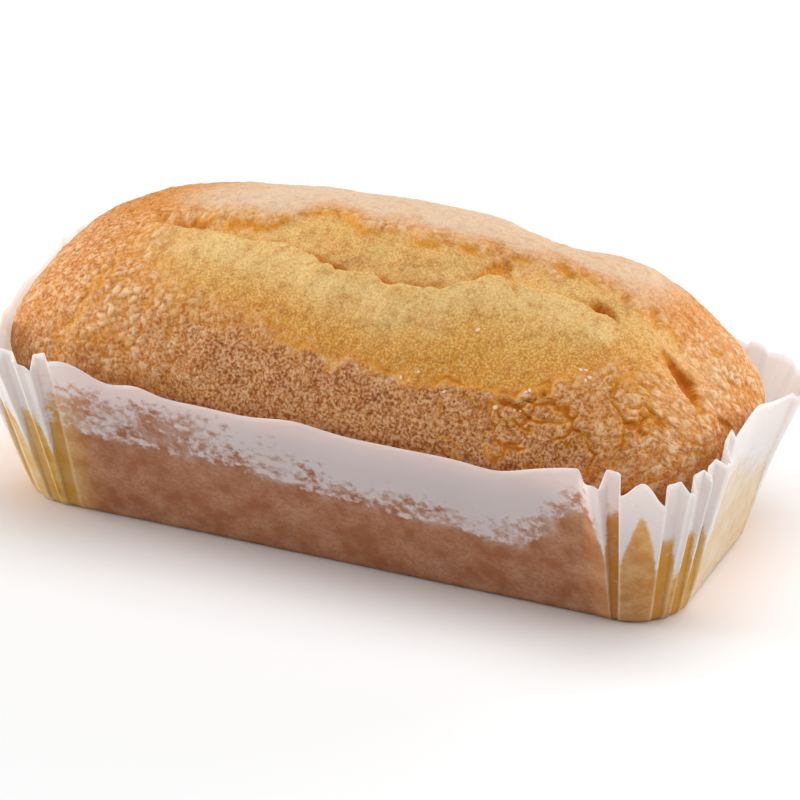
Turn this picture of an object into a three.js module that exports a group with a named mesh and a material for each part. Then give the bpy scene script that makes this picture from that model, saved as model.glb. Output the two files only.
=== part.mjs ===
// A mini pound cake with a split top in its white paper loaf case, in millimetres.
// +X runs along the loaf, -Y is its front long side, +Z is up, and the case's underside lies on z = 0.
import * as THREE from 'three';
import { mergeVertices } from 'three/addons/utils/BufferGeometryUtils.js';

// Paper case: a flat base, walls that lean outwards, and pleats round each corner
const BASE_LENGTH = 88.0;
const BASE_WIDTH = 31.5;
const BASE_RADIUS = 7.0;
const BASE_EDGE = 0.35;
const RIM_LENGTH = 97.2;
const RIM_WIDTH = 43.8;
const RIM_RADIUS = 9.5;
const RIM_HEIGHT = 21.1;
const PAPER = 0.4;

// Where the paper's edge stands higher or lower than RIM_HEIGHT, by how much and how far round that place
const EDGE_RISES = [
  { x: -40.5, y: -20, rise: 2.5, reach: 4 },
  { x: -33.2, y: -22, rise: 3.6, reach: 4.4 },
  { x: -23.5, y: -22, rise: 1.3, reach: 3 },
  { x: -2.5, y: -22, rise: 0.7, reach: 4 },
  { x: 24, y: -22, rise: -0.7, reach: 4 },
  { x: 37, y: -22, rise: 2.8, reach: 8 },
  { x: 48, y: -15, rise: 1.0, reach: 6 },
  { x: 49, y: -3, rise: 3.6, reach: 7.5 },
  { x: 47, y: 19, rise: -1.4, reach: 9 },
  { x: -20, y: 22, rise: 0.5, reach: 12 },
  { x: -48.5, y: 10.5, rise: 2.4, reach: 7 },
  { x: -48.5, y: -1.5, rise: 1.2, reach: 4 },
  { x: -46, y: -16, rise: 5.0, reach: 4.5 },
  { x: 49, y: -9, rise: 2.2, reach: 3.5 },
  { x: 44.5, y: -19.5, rise: -0.8, reach: 2.5 },
];

// Where the paper's edge flares outwards, by how much and how far round that place
const EDGE_FLARES = [{ x: 49, y: 20, rise: 2.4, reach: 10 }];

// Pleats, corner by corner and counter-clockwise: how far before the corner's arc they start, the widths of the flat
// panels, and how far these stand out, as a share. A narrow valley lies between two panels, and its top stands up as
// a tab. A narrow panel's edge falls from one tab towards the next, and a wide one's rises to a hump. The first panel
// bends out of the plain side, and after the last valley the next side stands out a little and sinks back.
const PLEATS = {
  frontRight: { before: 4.6, widths: [4.6, 7.3, 3.4, 2.4, 3.9], strength: 1 },
  backRight: { before: 1.0, widths: [4.4, 5.6, 4.2, 6.3], strength: 0.35 },
  backLeft: { before: 4.0, widths: [5.4, 4.3, 6.2, 4.8], strength: 0.6 },
  frontLeft: { before: 4.3, widths: [4.8, 4.2, 4.6, 4.4, 4.5], strength: 0.8 },
};
const PLEAT_OUT_BASE = 0.2;
const PLEAT_OUT_RIM = 1.5;
const VALLEY_HALF_WIDTH = 0.55;
const VALLEY_FLANK = 0.55;
const PANEL_SAG = 0.15;
const WIDE_PANEL = 6.8;
const NARROW_PANEL = 5.5;
const WIDE_HUMP = 0.9;
const TAB_RISE = 0.6;
const NOTCH_DROP = 1.9;
const PANEL_SLOPE_DROP = 0.6;
const PANEL_MIDDLE_DROP = 1.1;
const FIRST_PANEL_DROP = 0.6;
const FIRST_PANEL_FOLD = 0.4;
const SIDE_START_FOLD = 0.4;
const SIDE_START_DROP = 0.9;
const SIDE_START_REACH = 12;

// Cake: a body that fills the case and a loaf-shaped dome above the rim
const CAKE_GAP = 0.35;
const CAKE_LENGTH = 94.8;
const CAKE_WIDTH = 41.4;
const CAKE_RADIUS = 16;
const SHOULDER_HEIGHT = 19.4;
const DOME_RISE = 20.3;
const DOME_RISE_AT_ENDS = 11.4;
const DOME_APEX_X = -0.7;

// Split along the dome: how far it lies from the middle line and how deep it is, from left to right
const SPLIT = [
  { x: -29, y: -4.9, depth: 0 },
  { x: -24, y: -5.9, depth: 1.5 },
  { x: -15, y: -7.3, depth: 1.0 },
  { x: -6, y: -8.6, depth: 1.9 },
  { x: 0, y: -10.4, depth: 2.1 },
  { x: 8, y: -10.4, depth: 2.0 },
  { x: 13, y: -8.8, depth: 1.7 },
  { x: 17, y: -5.4, depth: 1.6 },
  { x: 24, y: -5.0, depth: 0.7 },
  { x: 31, y: -5.3, depth: 1.9 },
  { x: 36, y: -6.0, depth: 1.0 },
  { x: 42, y: -6.9, depth: 2.0 },
  { x: 48, y: -6.2, depth: 0 },
];
const SPLIT_WALL = 0.9;
const SPLIT_LIP = 0.45;
const LIP_REACH = 5;
const LEDGE_REACH = 4.5;
const BACK_CRUST_STEP = 0.5;
const BACK_CRUST_EDGE = 1.5;
const BACK_CRUST_LEFT_Y = -4.6;
const BACK_CRUST_RIGHT_Y = 0.6;
const BACK_CRUST_HALF_LENGTH = 34;
const CRAG_HEIGHT = 0.55;
const CRAG_SIZES = [6.5, 3.1];
const RELIEF_FROM = 0.04;
const RELIEF_FULL = 0.3;

// Where the dome swells or sinks: the full left shoulder, the full top with a dip and a hump along the back, and a
// flatter right corner
const SWELLS = [
  { x: -41, y: 5, rise: 0.8, reach: 8 },
  { x: 12, y: 9, rise: 0.5, reach: 15 },
  { x: 18, y: 11, rise: -1.2, reach: 5.5 },
  { x: 29, y: 12, rise: 0.6, reach: 5 },
  { x: 41, y: 15, rise: -0.5, reach: 7 },
];

// How finely the surfaces are divided
const PLAIN_LONG_STEPS = 26;
const PLAIN_END_STEPS = 5;
const CASE_ROWS = [0, 0.045, 0.22, 0.45, 0.72, 1];
const CAKE_LONG_STEPS = 42;
const CAKE_END_STEPS = 6;
const CAKE_CORNER_STEPS = 10;
const BODY_ROWS = 4;
const DOME_ROWS = 26;
const WELD = 0.001;

// Fixed odd numbers that scatter the uneven heights of crags
const CRAG_SCATTER = [127.1, 311.7, 437.5];

const QUARTER = Math.PI / 2;
const { lerp, smoothstep, clamp } = THREE.MathUtils;

// The sum of soft round rises at a place in plan
function riseAt(rises, x, y) {
  const each = rises.map((place) => {
    const distance = Math.hypot(x - place.x, y - place.y);
    return place.rise * Math.exp(-((distance / place.reach) ** 2));
  });
  return each.reduce((a, b) => a + b);
}

// Closed outlines
// A place on a rounded rectangle, counter-clockwise: side 0 is the front, 1 the right end, 2 the back, 3 the
// left end, each followed by its corner, and t runs from 0 to 1 along that stretch.
function outlinePoint({ length, width, radius }, { side, corner, t }) {
  const halfX = length / 2 - radius;
  const halfY = width / 2 - radius;
  const centres = [[halfX, -halfY], [halfX, halfY], [-halfX, halfY], [-halfX, -halfY]];
  const angle = (side - 1) * QUARTER + (corner ? t * QUARTER : 0);
  const before = centres[(side + 3) % 4];
  const after = centres[side];
  const along = corner ? 1 : t;
  const nx = Math.cos(angle);
  const ny = Math.sin(angle);
  const x = lerp(before[0], after[0], along) + radius * nx;
  const y = lerp(before[1], after[1], along) + radius * ny;
  return { x, y, nx, ny };
}

// Evenly spaced stations on the four sides and corners of a plain rounded rectangle
function plainStations() {
  const stations = [];
  for (let side = 0; side < 4; side += 1) {
    const steps = side % 2 === 0 ? CAKE_LONG_STEPS : CAKE_END_STEPS;
    for (let i = 0; i < steps; i += 1) stations.push({ side, corner: false, t: i / steps });
    for (let i = 0; i < CAKE_CORNER_STEPS; i += 1) {
      stations.push({ side, corner: true, t: i / CAKE_CORNER_STEPS });
    }
  }
  return stations;
}

// The stations of one pleat, from the middle of its first valley: how far along its rim, how far out as a share, and
// how much higher than the plain edge
function pleatSteps(width, strength, first) {
  const wide = smoothstep(width, NARROW_PANEL, WIDE_PANEL);
  const tab = strength * TAB_RISE;
  const notch = -strength * NOTCH_DROP;
  const start = -strength * lerp(PANEL_SLOPE_DROP, NOTCH_DROP, wide);
  const middle = strength * lerp(-PANEL_MIDDLE_DROP, WIDE_HUMP, wide);
  const edge = VALLEY_HALF_WIDTH + VALLEY_FLANK;
  const valley = [
    { along: 0, fold: 0, lift: tab },
    { along: VALLEY_HALF_WIDTH, fold: 0, lift: tab },
    { along: edge, fold: strength, lift: start },
  ];
  const bend = [
    { along: 0, fold: 0, lift: 0 },
    { along: edge, fold: strength * FIRST_PANEL_FOLD, lift: notch },
  ];
  const drop = first ? strength * FIRST_PANEL_DROP : 0;
  return [
    ...(first ? bend : valley),
    { along: width / 2, fold: strength * (1 - PANEL_SAG), lift: middle - drop },
    { along: width - edge, fold: strength, lift: notch },
    { along: width - VALLEY_HALF_WIDTH, fold: 0, lift: tab },
  ];
}

// The stations of a plain side, from the middle of the last valley before it
function sideSteps(stretch, steps, strength) {
  const tab = strength * TAB_RISE;
  const edge = VALLEY_HALF_WIDTH + VALLEY_FLANK;
  const stations = [
    { along: 0, fold: 0, lift: tab },
    { along: VALLEY_HALF_WIDTH, fold: 0, lift: tab },
  ];
  for (let i = 0; i < steps; i += 1) {
    const along = lerp(edge, stretch, i / steps);
    const fold = strength * SIDE_START_FOLD * (1 - smoothstep(along, edge, SIDE_START_REACH));
    const lift = -strength * SIDE_START_DROP * (1 - smoothstep(along, edge, SIDE_START_REACH / 2));
    stations.push({ along, fold, lift });
  }
  return stations;
}

// Stations of the pleated case: plain stretches along the sides, folds round each corner. Distances run from where
// the corner's arc starts.
function pleatedStations() {
  const arc = QUARTER * RIM_RADIUS;
  const straight = [RIM_LENGTH, RIM_WIDTH].map((size) => size - 2 * RIM_RADIUS);
  const corners = Object.values(PLEATS);
  const after = corners.map(({ before, widths }) => widths.reduce((a, b) => a + b) - before - arc);
  const stations = [];
  corners.forEach(({ before, widths, strength }, side) => {
    const next = (side + 1) % 4;
    const last = (side + 3) % 4;
    const own = straight[side % 2];
    const put = (reached, steps) => {
      for (const { along, fold, lift } of steps) {
        const distance = reached + along;
        if (distance < 0) stations.push({ side, corner: false, t: 1 + distance / own, fold, lift });
        else if (distance < arc) stations.push({ side, corner: true, t: distance / arc, fold, lift });
        else {
          const t = (distance - arc) / straight[next % 2];
          stations.push({ side: next, corner: false, t, fold, lift });
        }
      }
    };
    const start = after[last] - own;
    const steps = side % 2 === 0 ? PLAIN_LONG_STEPS : PLAIN_END_STEPS;
    put(start, sideSteps(-before - start, steps, corners[last].strength));
    let reached = -before;
    widths.forEach((width, i) => {
      put(reached, pleatSteps(width, strength, i === 0));
      reached += width;
    });
  });
  return stations;
}

// Closed solids from rings of points
// Joins rings that have the same number of points, from the bottom up, and fills them with the given caps. Points
// that fall together, as along a ridge where a ring has closed up, become one.
function solidFromRings(rings, bottomCap, topCap) {
  const count = rings[0].length;
  const index = [];
  for (let row = 0; row + 1 < rings.length; row += 1) {
    for (let i = 0; i < count; i += 1) {
      const a = row * count + i;
      const b = row * count + ((i + 1) % count);
      index.push(a, b, b + count, a, b + count, a + count);
    }
  }
  const last = (rings.length - 1) * count;
  for (const [a, b, c] of bottomCap) index.push(c, b, a);
  for (const [a, b, c] of topCap) index.push(last + a, last + b, last + c);
  const loose = new THREE.BufferGeometry();
  loose.setAttribute('position', new THREE.Float32BufferAttribute(rings.flat(2), 3));
  loose.setIndex(index);
  const geometry = mergeVertices(loose, WELD);
  const joined = Array.from(geometry.index.array);
  const faces = [];
  for (let i = 0; i < joined.length; i += 3) {
    const [a, b, c] = joined.slice(i, i + 3);
    if (a !== b && b !== c && c !== a) faces.push(a, b, c);
  }
  geometry.setIndex(faces);
  geometry.computeVertexNormals();
  return geometry;
}

function capOf(ring) {
  const contour = ring.map(([x, y]) => new THREE.Vector2(x, y));
  return THREE.ShapeUtils.triangulateShape(contour, []);
}

// Paper case
function caseOutline(v) {
  return {
    length: lerp(BASE_LENGTH, RIM_LENGTH, v),
    width: lerp(BASE_WIDTH, RIM_WIDTH, v),
    radius: lerp(BASE_RADIUS, RIM_RADIUS, v),
  };
}

// Height of the paper's edge, with its rises and the pleats' tabs and notches
function rimHeight(station) {
  const { x, y } = outlinePoint(caseOutline(1), station);
  return RIM_HEIGHT + riseAt(EDGE_RISES, x, y) + station.lift;
}

// A point of the wall at v, from 0 at the base to 1 at the paper's edge, moved in by inset and up by lift at the
// base. The wall keeps one slope all round, so where the edge is higher it also reaches further out.
function casePoint(station, v, inset, lift) {
  const z = lerp(lift, rimHeight(station), v);
  const rim = outlinePoint(caseOutline(1), station);
  const place = outlinePoint(caseOutline(z / RIM_HEIGHT), station);
  const edge = BASE_EDGE * clamp(1 - v / CASE_ROWS[1], 0, 1);
  const fold = lerp(PLEAT_OUT_BASE, PLEAT_OUT_RIM, v) * station.fold;
  const out = fold + riseAt(EDGE_FLARES, rim.x, rim.y) * v ** 2 - edge - inset;
  return [place.x + place.nx * out, place.y + place.ny * out, z];
}

function paperCase() {
  const stations = pleatedStations();
  const ringAt = (v, inset, lift) => stations.map((station) => casePoint(station, v, inset, lift));
  const outer = CASE_ROWS.map((v) => ringAt(v, 0, 0));
  const inner = CASE_ROWS.map((v) => ringAt(v, PAPER, PAPER)).reverse();
  const floor = inner[inner.length - 1];
  return solidFromRings([...outer, ...inner], capOf(outer[0]), capOf(floor));
}

// Cake
// The split's place and depth at x, eased between the listed places
function splitAt(x) {
  const right = SPLIT.findIndex((place) => place.x > x);
  if (right <= 0) return { y: SPLIT[0].y, depth: 0 };
  const from = SPLIT[right - 1];
  const to = SPLIT[right];
  const eased = smoothstep(x, from.x, to.x);
  return { y: lerp(from.y, to.y, eased), depth: lerp(from.depth, to.depth, eased) };
}

// Uneven lumps one unit apart, from -0.5 to 0.5: heights set at whole numbers and eased between them
function lumps(u, v) {
  const [acrossU, acrossV, spread] = CRAG_SCATTER;
  const heightAt = (i, j) => (Math.abs(Math.sin(i * acrossU + j * acrossV)) * spread) % 1;
  const i = Math.floor(u);
  const j = Math.floor(v);
  const easedU = smoothstep(u - i, 0, 1);
  const near = lerp(heightAt(i, j), heightAt(i + 1, j), easedU);
  const far = lerp(heightAt(i, j + 1), heightAt(i + 1, j + 1), easedU);
  return lerp(near, far, smoothstep(v - j, 0, 1)) - 0.5;
}

// Height of the crust's relief over the smooth dome: the raised lip in front of the split, the sunken ledge
// behind it, the edge of the back crust, the swells and low crags
function relief(x, y) {
  const split = splitAt(x);
  const behind = y - split.y;
  const lip = SPLIT_LIP * split.depth * Math.exp(-((behind / LIP_REACH) ** 2));
  const ledge = -split.depth * Math.exp(-((Math.max(behind, 0) / LEDGE_REACH) ** 2));
  const step = lerp(lip, ledge, smoothstep(behind, -SPLIT_WALL, SPLIT_WALL));
  const span = clamp(x / BACK_CRUST_HALF_LENGTH, -1, 1);
  const backY = lerp(BACK_CRUST_LEFT_Y, BACK_CRUST_RIGHT_Y, (span + 1) / 2);
  const backEdge = BACK_CRUST_STEP * (1 - span ** 4) * smoothstep(y, backY, backY + BACK_CRUST_EDGE);
  const crags = CRAG_SIZES.map((size, i) => lumps(x / size, y / size) / (i + 1));
  return step + backEdge + riseAt(SWELLS, x, y) + CRAG_HEIGHT * (crags[0] + crags[1]);
}

// A point of the dome at w, from 0 at the shoulder to 1 along the top
function domePoint(station, w) {
  const inwards = Math.cos(w * QUARTER);
  const upwards = Math.sin(w * QUARTER);
  const outline = {
    length: CAKE_LENGTH - CAKE_WIDTH * (1 - inwards),
    width: CAKE_WIDTH * inwards,
    radius: CAKE_RADIUS * inwards,
  };
  const { x, y, nx, ny } = outlinePoint(outline, station);
  const fromApex = (x - DOME_APEX_X) / (CAKE_LENGTH / 2);
  const rise = DOME_RISE - (DOME_RISE - DOME_RISE_AT_ENDS) * fromApex ** 2;
  const bump = relief(x, y) * smoothstep(w, RELIEF_FROM, RELIEF_FULL);
  return [
    x + nx * inwards * bump,
    y + ny * inwards * bump,
    SHOULDER_HEIGHT + rise * upwards + upwards * bump,
  ];
}

function cake() {
  const stations = plainStations();
  const clearance = 2 * (BASE_EDGE + PAPER + CAKE_GAP);
  const foot = {
    length: BASE_LENGTH - clearance,
    width: BASE_WIDTH - clearance,
    radius: BASE_RADIUS,
  };
  const footHeight = PAPER + CAKE_GAP;
  const rings = [];
  for (let row = 0; row < BODY_ROWS; row += 1) {
    const up = row / BODY_ROWS;
    const outline = {
      length: lerp(foot.length, CAKE_LENGTH, up),
      width: lerp(foot.width, CAKE_WIDTH, up),
      radius: lerp(foot.radius, CAKE_RADIUS, up),
    };
    const z = lerp(footHeight, SHOULDER_HEIGHT, up);
    rings.push(stations.map((station) => {
      const { x, y } = outlinePoint(outline, station);
      return [x, y, z];
    }));
  }
  for (let row = 0; row <= DOME_ROWS; row += 1) {
    rings.push(stations.map((station) => domePoint(station, row / DOME_ROWS)));
  }
  return solidFromRings(rings, capOf(rings[0]), []);
}

// Assembly, centred over the origin
const materials = {
  crust: new THREE.MeshStandardMaterial({ color: '#c5904a', roughness: 0.75, metalness: 0 }),
  paper: new THREE.MeshStandardMaterial({ color: '#e8dedb', roughness: 0.6, metalness: 0 }),
};
const pieces = [
  new THREE.Mesh(paperCase(), materials.paper),
  new THREE.Mesh(cake(), materials.crust),
];
pieces[0].name = 'paper_case';
pieces[1].name = 'cake';
const poundCake = new THREE.Group();
poundCake.add(...pieces);
const middle = new THREE.Box3().setFromObject(poundCake).getCenter(new THREE.Vector3());
for (const piece of pieces) piece.geometry.translate(-middle.x, -middle.y, 0);

export default poundCake;
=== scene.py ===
# %% [markdown]
# # A mini pound cake in its paper case
# The solid model gives two pieces: the cake and the pleated paper case. This lesson dresses both. It
# makes a fine crust and thin paper on the same sizes, gives them baked and soaked finishes, and sets up
# the light and the view.

# %% Load the solid model
import math
import random
import bmesh
import bpy
from mathutils import Matrix, Vector, noise
from mathutils.bvhtree import BVHTree


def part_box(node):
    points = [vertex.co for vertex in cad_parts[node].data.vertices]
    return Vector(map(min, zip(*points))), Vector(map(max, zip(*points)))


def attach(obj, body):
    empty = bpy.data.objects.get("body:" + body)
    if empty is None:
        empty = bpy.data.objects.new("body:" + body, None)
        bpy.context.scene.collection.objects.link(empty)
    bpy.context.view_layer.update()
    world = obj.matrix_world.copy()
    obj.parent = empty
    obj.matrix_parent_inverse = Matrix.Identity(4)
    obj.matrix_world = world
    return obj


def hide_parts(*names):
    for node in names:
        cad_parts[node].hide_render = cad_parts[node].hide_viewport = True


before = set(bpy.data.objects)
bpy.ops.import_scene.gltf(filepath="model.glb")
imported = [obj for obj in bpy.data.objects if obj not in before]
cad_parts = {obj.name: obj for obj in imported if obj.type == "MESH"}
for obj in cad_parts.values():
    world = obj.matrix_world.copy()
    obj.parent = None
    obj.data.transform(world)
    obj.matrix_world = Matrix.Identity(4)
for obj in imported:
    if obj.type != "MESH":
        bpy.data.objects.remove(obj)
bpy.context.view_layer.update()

MM = 0.001
cake_low, cake_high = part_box("cake")
middle = (Vector(cake_low) + Vector(cake_high)) / (2 * MM)
print("middle of the cake in mm:", round(middle.x, 2), round(middle.y, 2))

# %% [markdown]
# ## The view
# The photograph looks down on the front and the right end, with little perspective. A long lens from 0.7
# m gives that. The camera is set by two angles and by the point that it looks at, so that each can be
# checked against the picture.

# %% Camera
TURN = math.radians(23.45)
LOOK_DOWN = math.radians(27.32)
AIM_HEIGHT = 18
AIM_RIGHT = 2.0
AIM_UP = -2.77
DISTANCE = 700
LENS = 254.2
SENSOR_WIDTH = 36

level = math.cos(LOOK_DOWN)
camera_back = Vector((math.sin(TURN) * level, -math.cos(TURN) * level, math.sin(LOOK_DOWN)))
camera_right = Vector((math.cos(TURN), math.sin(TURN), 0))
camera_up = camera_back.cross(camera_right)
aim = Vector((middle.x, middle.y, AIM_HEIGHT)) + AIM_RIGHT * camera_right + AIM_UP * camera_up

camera = bpy.data.objects.new("camera", bpy.data.cameras.new("camera"))
camera.data.sensor_width = SENSOR_WIDTH
camera.data.lens = LENS
camera.data.clip_start = 0.01
camera.data.clip_end = 20
camera.location = (aim + DISTANCE * camera_back) * MM
camera.rotation_euler = Matrix((camera_right, camera_up, camera_back)).transposed().to_euler()
bpy.context.scene.collection.objects.link(camera)
bpy.context.scene.camera = camera
print("camera at", [round(value, 3) for value in camera.location])

# %% [markdown]
# ## Floor and studio light
# The cake stands on plain white, lit by soft boxes. A wide box overhead lights the dome, a low one at the
# left is the strongest and reaches the pleats, one at the right lights the right end, and one behind
# shines through the paper, so the front stays in soft shade. One even sky would be simpler, but it would
# leave the pleats flat. A large matt floor and a pale world fill in the rest.

# %% Node helper and colours
def linear(code):
    """An sRGB hex colour as linear red, green, blue and a full alpha."""
    shares = [int(code[i:i + 2], 16) / 255 for i in (1, 3, 5)]
    return [s / 12.92 if s <= 0.04045 else ((s + 0.055) / 1.055) ** 2.4 for s in shares] + [1.0]


def add_node(tree, kind, values, output=0):
    """Adds a node and gives the socket that it hands on. Each value is one of the node's own settings, or
    goes to the input of that name or number, as a link where it is another node's socket."""
    node = tree.nodes.new(kind)
    for key, value in values.items():
        if isinstance(key, str) and hasattr(node, key):
            setattr(node, key, value)
        elif isinstance(value, bpy.types.NodeSocket):
            tree.links.new(value, node.inputs[key])
        else:
            node.inputs[key].default_value = value
    return node.outputs[output] if node.outputs else None


def new_material(name):
    """An empty node material and its tree."""
    material = bpy.data.materials.new(name)
    material.use_nodes = True
    material.node_tree.nodes.clear()
    return material, material.node_tree


print("white as linear light:", linear("#ffffff"))

# %% Floor
FLOOR_HALF_SIZE = 3
FLOOR_DROP = 0.0001

floor_mesh = bmesh.new()
bmesh.ops.create_grid(floor_mesh, x_segments=1, y_segments=1, size=FLOOR_HALF_SIZE)
floor_data = bpy.data.meshes.new("floor")
floor_mesh.to_mesh(floor_data)
floor_mesh.free()
floor = bpy.data.objects.new("floor", floor_data)
floor.location.z = -FLOOR_DROP
bpy.context.scene.collection.objects.link(floor)

# Matt white board: no gloss, so it takes only a soft shadow.
board, board_tree = new_material("white_board_matt")
white_board = add_node(board_tree, "ShaderNodeBsdfDiffuse", {"Color": linear("#f3f3f3")})
add_node(board_tree, "ShaderNodeOutputMaterial", {"Surface": white_board})
floor_data.materials.append(board)
print("floor of", floor.dimensions.x, "m")

# %% Lights
WORLD_STRENGTH = 0.25
LIGHT_AIM = Vector((0, 0, 0.02))
SOFT_BOXES = {
    "box_overhead": {"place": (0.05, 0.03, 0.62), "size": 0.55, "power": 2.55},
    "box_right": {"place": (0.62, 0.10, 0.34), "size": 0.40, "power": 1.55},
    "box_left": {"place": (-0.62, -0.12, 0.10), "size": 0.40, "power": 4.5},
    "box_behind": {"place": (0.30, 0.57, 0.20), "size": 0.40, "power": 1.7},
}
world = bpy.data.worlds.new("pale_room")
world.use_nodes = True
background = world.node_tree.nodes["Background"]
background.inputs["Color"].default_value = linear("#ffffff")
background.inputs["Strength"].default_value = WORLD_STRENGTH
bpy.context.scene.world = world
for name, box in SOFT_BOXES.items():
    lamp = bpy.data.lights.new(name, "AREA")
    lamp.size = box["size"]
    lamp.energy = box["power"]
    holder = bpy.data.objects.new(name, lamp)
    holder.location = box["place"]
    holder.rotation_euler = (Vector(box["place"]) - LIGHT_AIM).to_track_quat("Z", "Y").to_euler()
    bpy.context.scene.collection.objects.link(holder)
bpy.context.scene.view_settings.view_transform = "Standard"
print("soft boxes:", len(SOFT_BOXES))

# %% [markdown]
# ## The form of the cake
# A pound cake rises in the middle, and its skin splits along the top. The dome is a quarter turn from
# the shoulder up to a ridge that runs along the loaf, and it is lower towards the two ends. A ball or a
# swept curve would leave poles, so a grid is laid over it like a cloth: its border becomes the shoulder,
# and its middle line the ridge. That gives even squares, which take fine relief well.

# %% Dome
CAKE_LENGTH = 94.8
CAKE_WIDTH = 41.4
CAKE_RADIUS = 16
SHOULDER_HEIGHT = 19.4
DOME_RISE = 20.3
DOME_RISE_AT_ENDS = 11.4
DOME_APEX_X = -0.7
LONG_SHARE = CAKE_LENGTH / CAKE_WIDTH
QUARTER = math.pi / 2


def dome_place(along, across):
    """The plan place of a grid point, its outward direction, and how far in and up it lies on the dome."""
    end_reach = abs(along) - (LONG_SHARE - 1)
    ring = max(abs(across), end_reach)
    inwards = math.sin(ring * QUARTER)
    half_x = (CAKE_LENGTH - CAKE_WIDTH + CAKE_WIDTH * inwards) / 2
    half_y = CAKE_WIDTH * inwards / 2
    radius = max(CAKE_RADIUS * inwards, 1e-6)
    on_long_side = abs(across) >= end_reach
    straight = (half_x if on_long_side else half_y) - radius
    share = abs(along) / (LONG_SHARE - 1 + ring) if on_long_side else abs(across) / ring
    walked = share * (straight + radius * QUARTER / 2)
    bend = max(walked - straight, 0) / radius
    forwards = min(walked, straight) + radius * math.sin(bend)
    outwards = (half_y if on_long_side else half_x) - radius + radius * math.cos(bend)
    x, y = (forwards, outwards) if on_long_side else (outwards, forwards)
    nx, ny = (math.sin(bend), math.cos(bend)) if on_long_side else (math.cos(bend), math.sin(bend))
    sign_x = math.copysign(1, along)
    sign_y = math.copysign(1, across)
    return x * sign_x, y * sign_y, nx * sign_x, ny * sign_y, inwards, math.cos(ring * QUARTER)


def dome_height(x, upwards):
    from_apex = (x - DOME_APEX_X) / (CAKE_LENGTH / 2)
    rise = DOME_RISE - (DOME_RISE - DOME_RISE_AT_ENDS) * from_apex ** 2
    return SHOULDER_HEIGHT + rise * upwards


print("ridge height in mm:", round(dome_height(0, 1), 1))

# %% [markdown]
# ## The crust's relief
# The skin tore open along the front of the dome: a rounded pale lip in front, a drop, and a sunken ledge
# behind it that ends under the edge of the back crust. A few deep pockets lie along the tear. Lower down
# the crust is grainy, and at the right it has dried into small plates with cracks between them.
# Sculpting by hand could give this too, but here all of it is height over the smooth dome, worked out
# point by point with seeded noise. So it comes out the same each time, and the outline and the shadows
# are real.

# %% Eased steps and paths
def smooth(value, start, end):
    """0 before start and 1 after end, eased in between; start may be the larger one."""
    share = min(max((value - start) / (end - start), 0), 1)
    return share * share * (3 - 2 * share)


def lerp(a, b, share):
    return a + (b - a) * share


def bell(value, reach):
    """1 at zero, falling off to both sides within that reach."""
    return math.exp(-(value / reach) ** 2)


def rise_at(rises, x, y):
    """The sum of soft round rises at a place in plan."""
    return sum(rise * bell(math.hypot(x - px, y - py), reach) for px, py, rise, reach in rises)


def path_at(path, x):
    """The values of a path at x, eased between the listed places."""
    if x <= path[0][0]:
        return path[0][1:]
    for before, after in zip(path, path[1:]):
        if x < after[0]:
            share = smooth(x, before[0], after[0])
            return [lerp(a, b, share) for a, b in zip(before[1:], after[1:])]
    return path[-1][1:]


print("half way up an eased step:", smooth(0.5, 0, 1))

# %% Way round the dome and soft noise
HALF_GIRTH = 32.2


def girth_of(y):
    """The distance from the ridge measured round the dome, with the sign of y."""
    return HALF_GIRTH * math.asin(min(max(2 * y / CAKE_WIDTH, -1), 1)) / QUARTER


def wobble(place, size, seed):
    """Soft noise from about -1 to 1 with lumps of that size in mm."""
    return noise.noise(place / size + Vector((seed, -seed, 2 * seed)))


def waves(place, rows):
    """Layers of soft noise together, from rows of height, size in mm and seed."""
    return sum(height * wobble(place, size, seed) for height, size, seed in rows)


print("girth at the shoulder in mm:", girth_of(CAKE_WIDTH / 2))

# %% Tear and open cracks
# Places along the loaf in mm: x, how far from the ridge, the drop behind the lip, and the depth of a gap
# below it
TEAR = [(-31, -4.6, 0, 0), (-25.5, -5.6, 0.9, 0.6), (-21, -6.6, 1.0, 0.3), (-12, -7.6, 1.1, 0.1),
        (-6.5, -8.4, 1.6, 0.4), (-3, -9.9, 1.9, 1.2), (-0.8, -10.5, 2.0, 0.9), (2.7, -10.0, 2.0, 0.3),
        (5, -10.9, 2.0, 1.1), (8.6, -10.2, 1.9, 0.9), (11.8, -9.5, 1.7, 0.1), (14.8, -7.4, 1.6, 0.3),
        (17, -5.4, 1.5, 0.8), (22, -5.2, 0.8, 0), (28, -4.8, 0.8, 0.1), (31, -5.3, 1.6, 0.5),
        (34.5, -5.2, 0.6, 0), (37.5, -6.2, 0.2, 0), (48, -6.2, 0, 0)]
LIP_SHARE = 0.5
LIP_REACH = 5
LEDGE_REACH = 4.5
DROP_HALF_WIDTH = 0.35
GAP_BEHIND_LIP = 0.7
GAP_REACH = 0.6
# The open crack down the right end: x, y, half width, depth
END_CRACK = [(37.6, -4.0, 0.2, 0), (38.8, -4.3, 0.7, 0.6), (40.5, -4.8, 1.0, 1.1), (42.2, -5.2, 1.5, 1.5),
             (43.4, -5.8, 1.1, 1.1), (44.3, -6.5, 0.7, 0.5), (45.0, -7.1, 0.3, 0)]
# Where its wall and its dark floor start and are full, as shares of the half width. The dark floor is
# partly the orange crumb and partly painted shade.
END_CRACK_WALL = (1.3, 0.6)
END_CRACK_FLOOR = (1.2, 0.95)
END_CRACK_DARKNESS = 0.95
END_CRACK_RAGGED = 0.7
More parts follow.
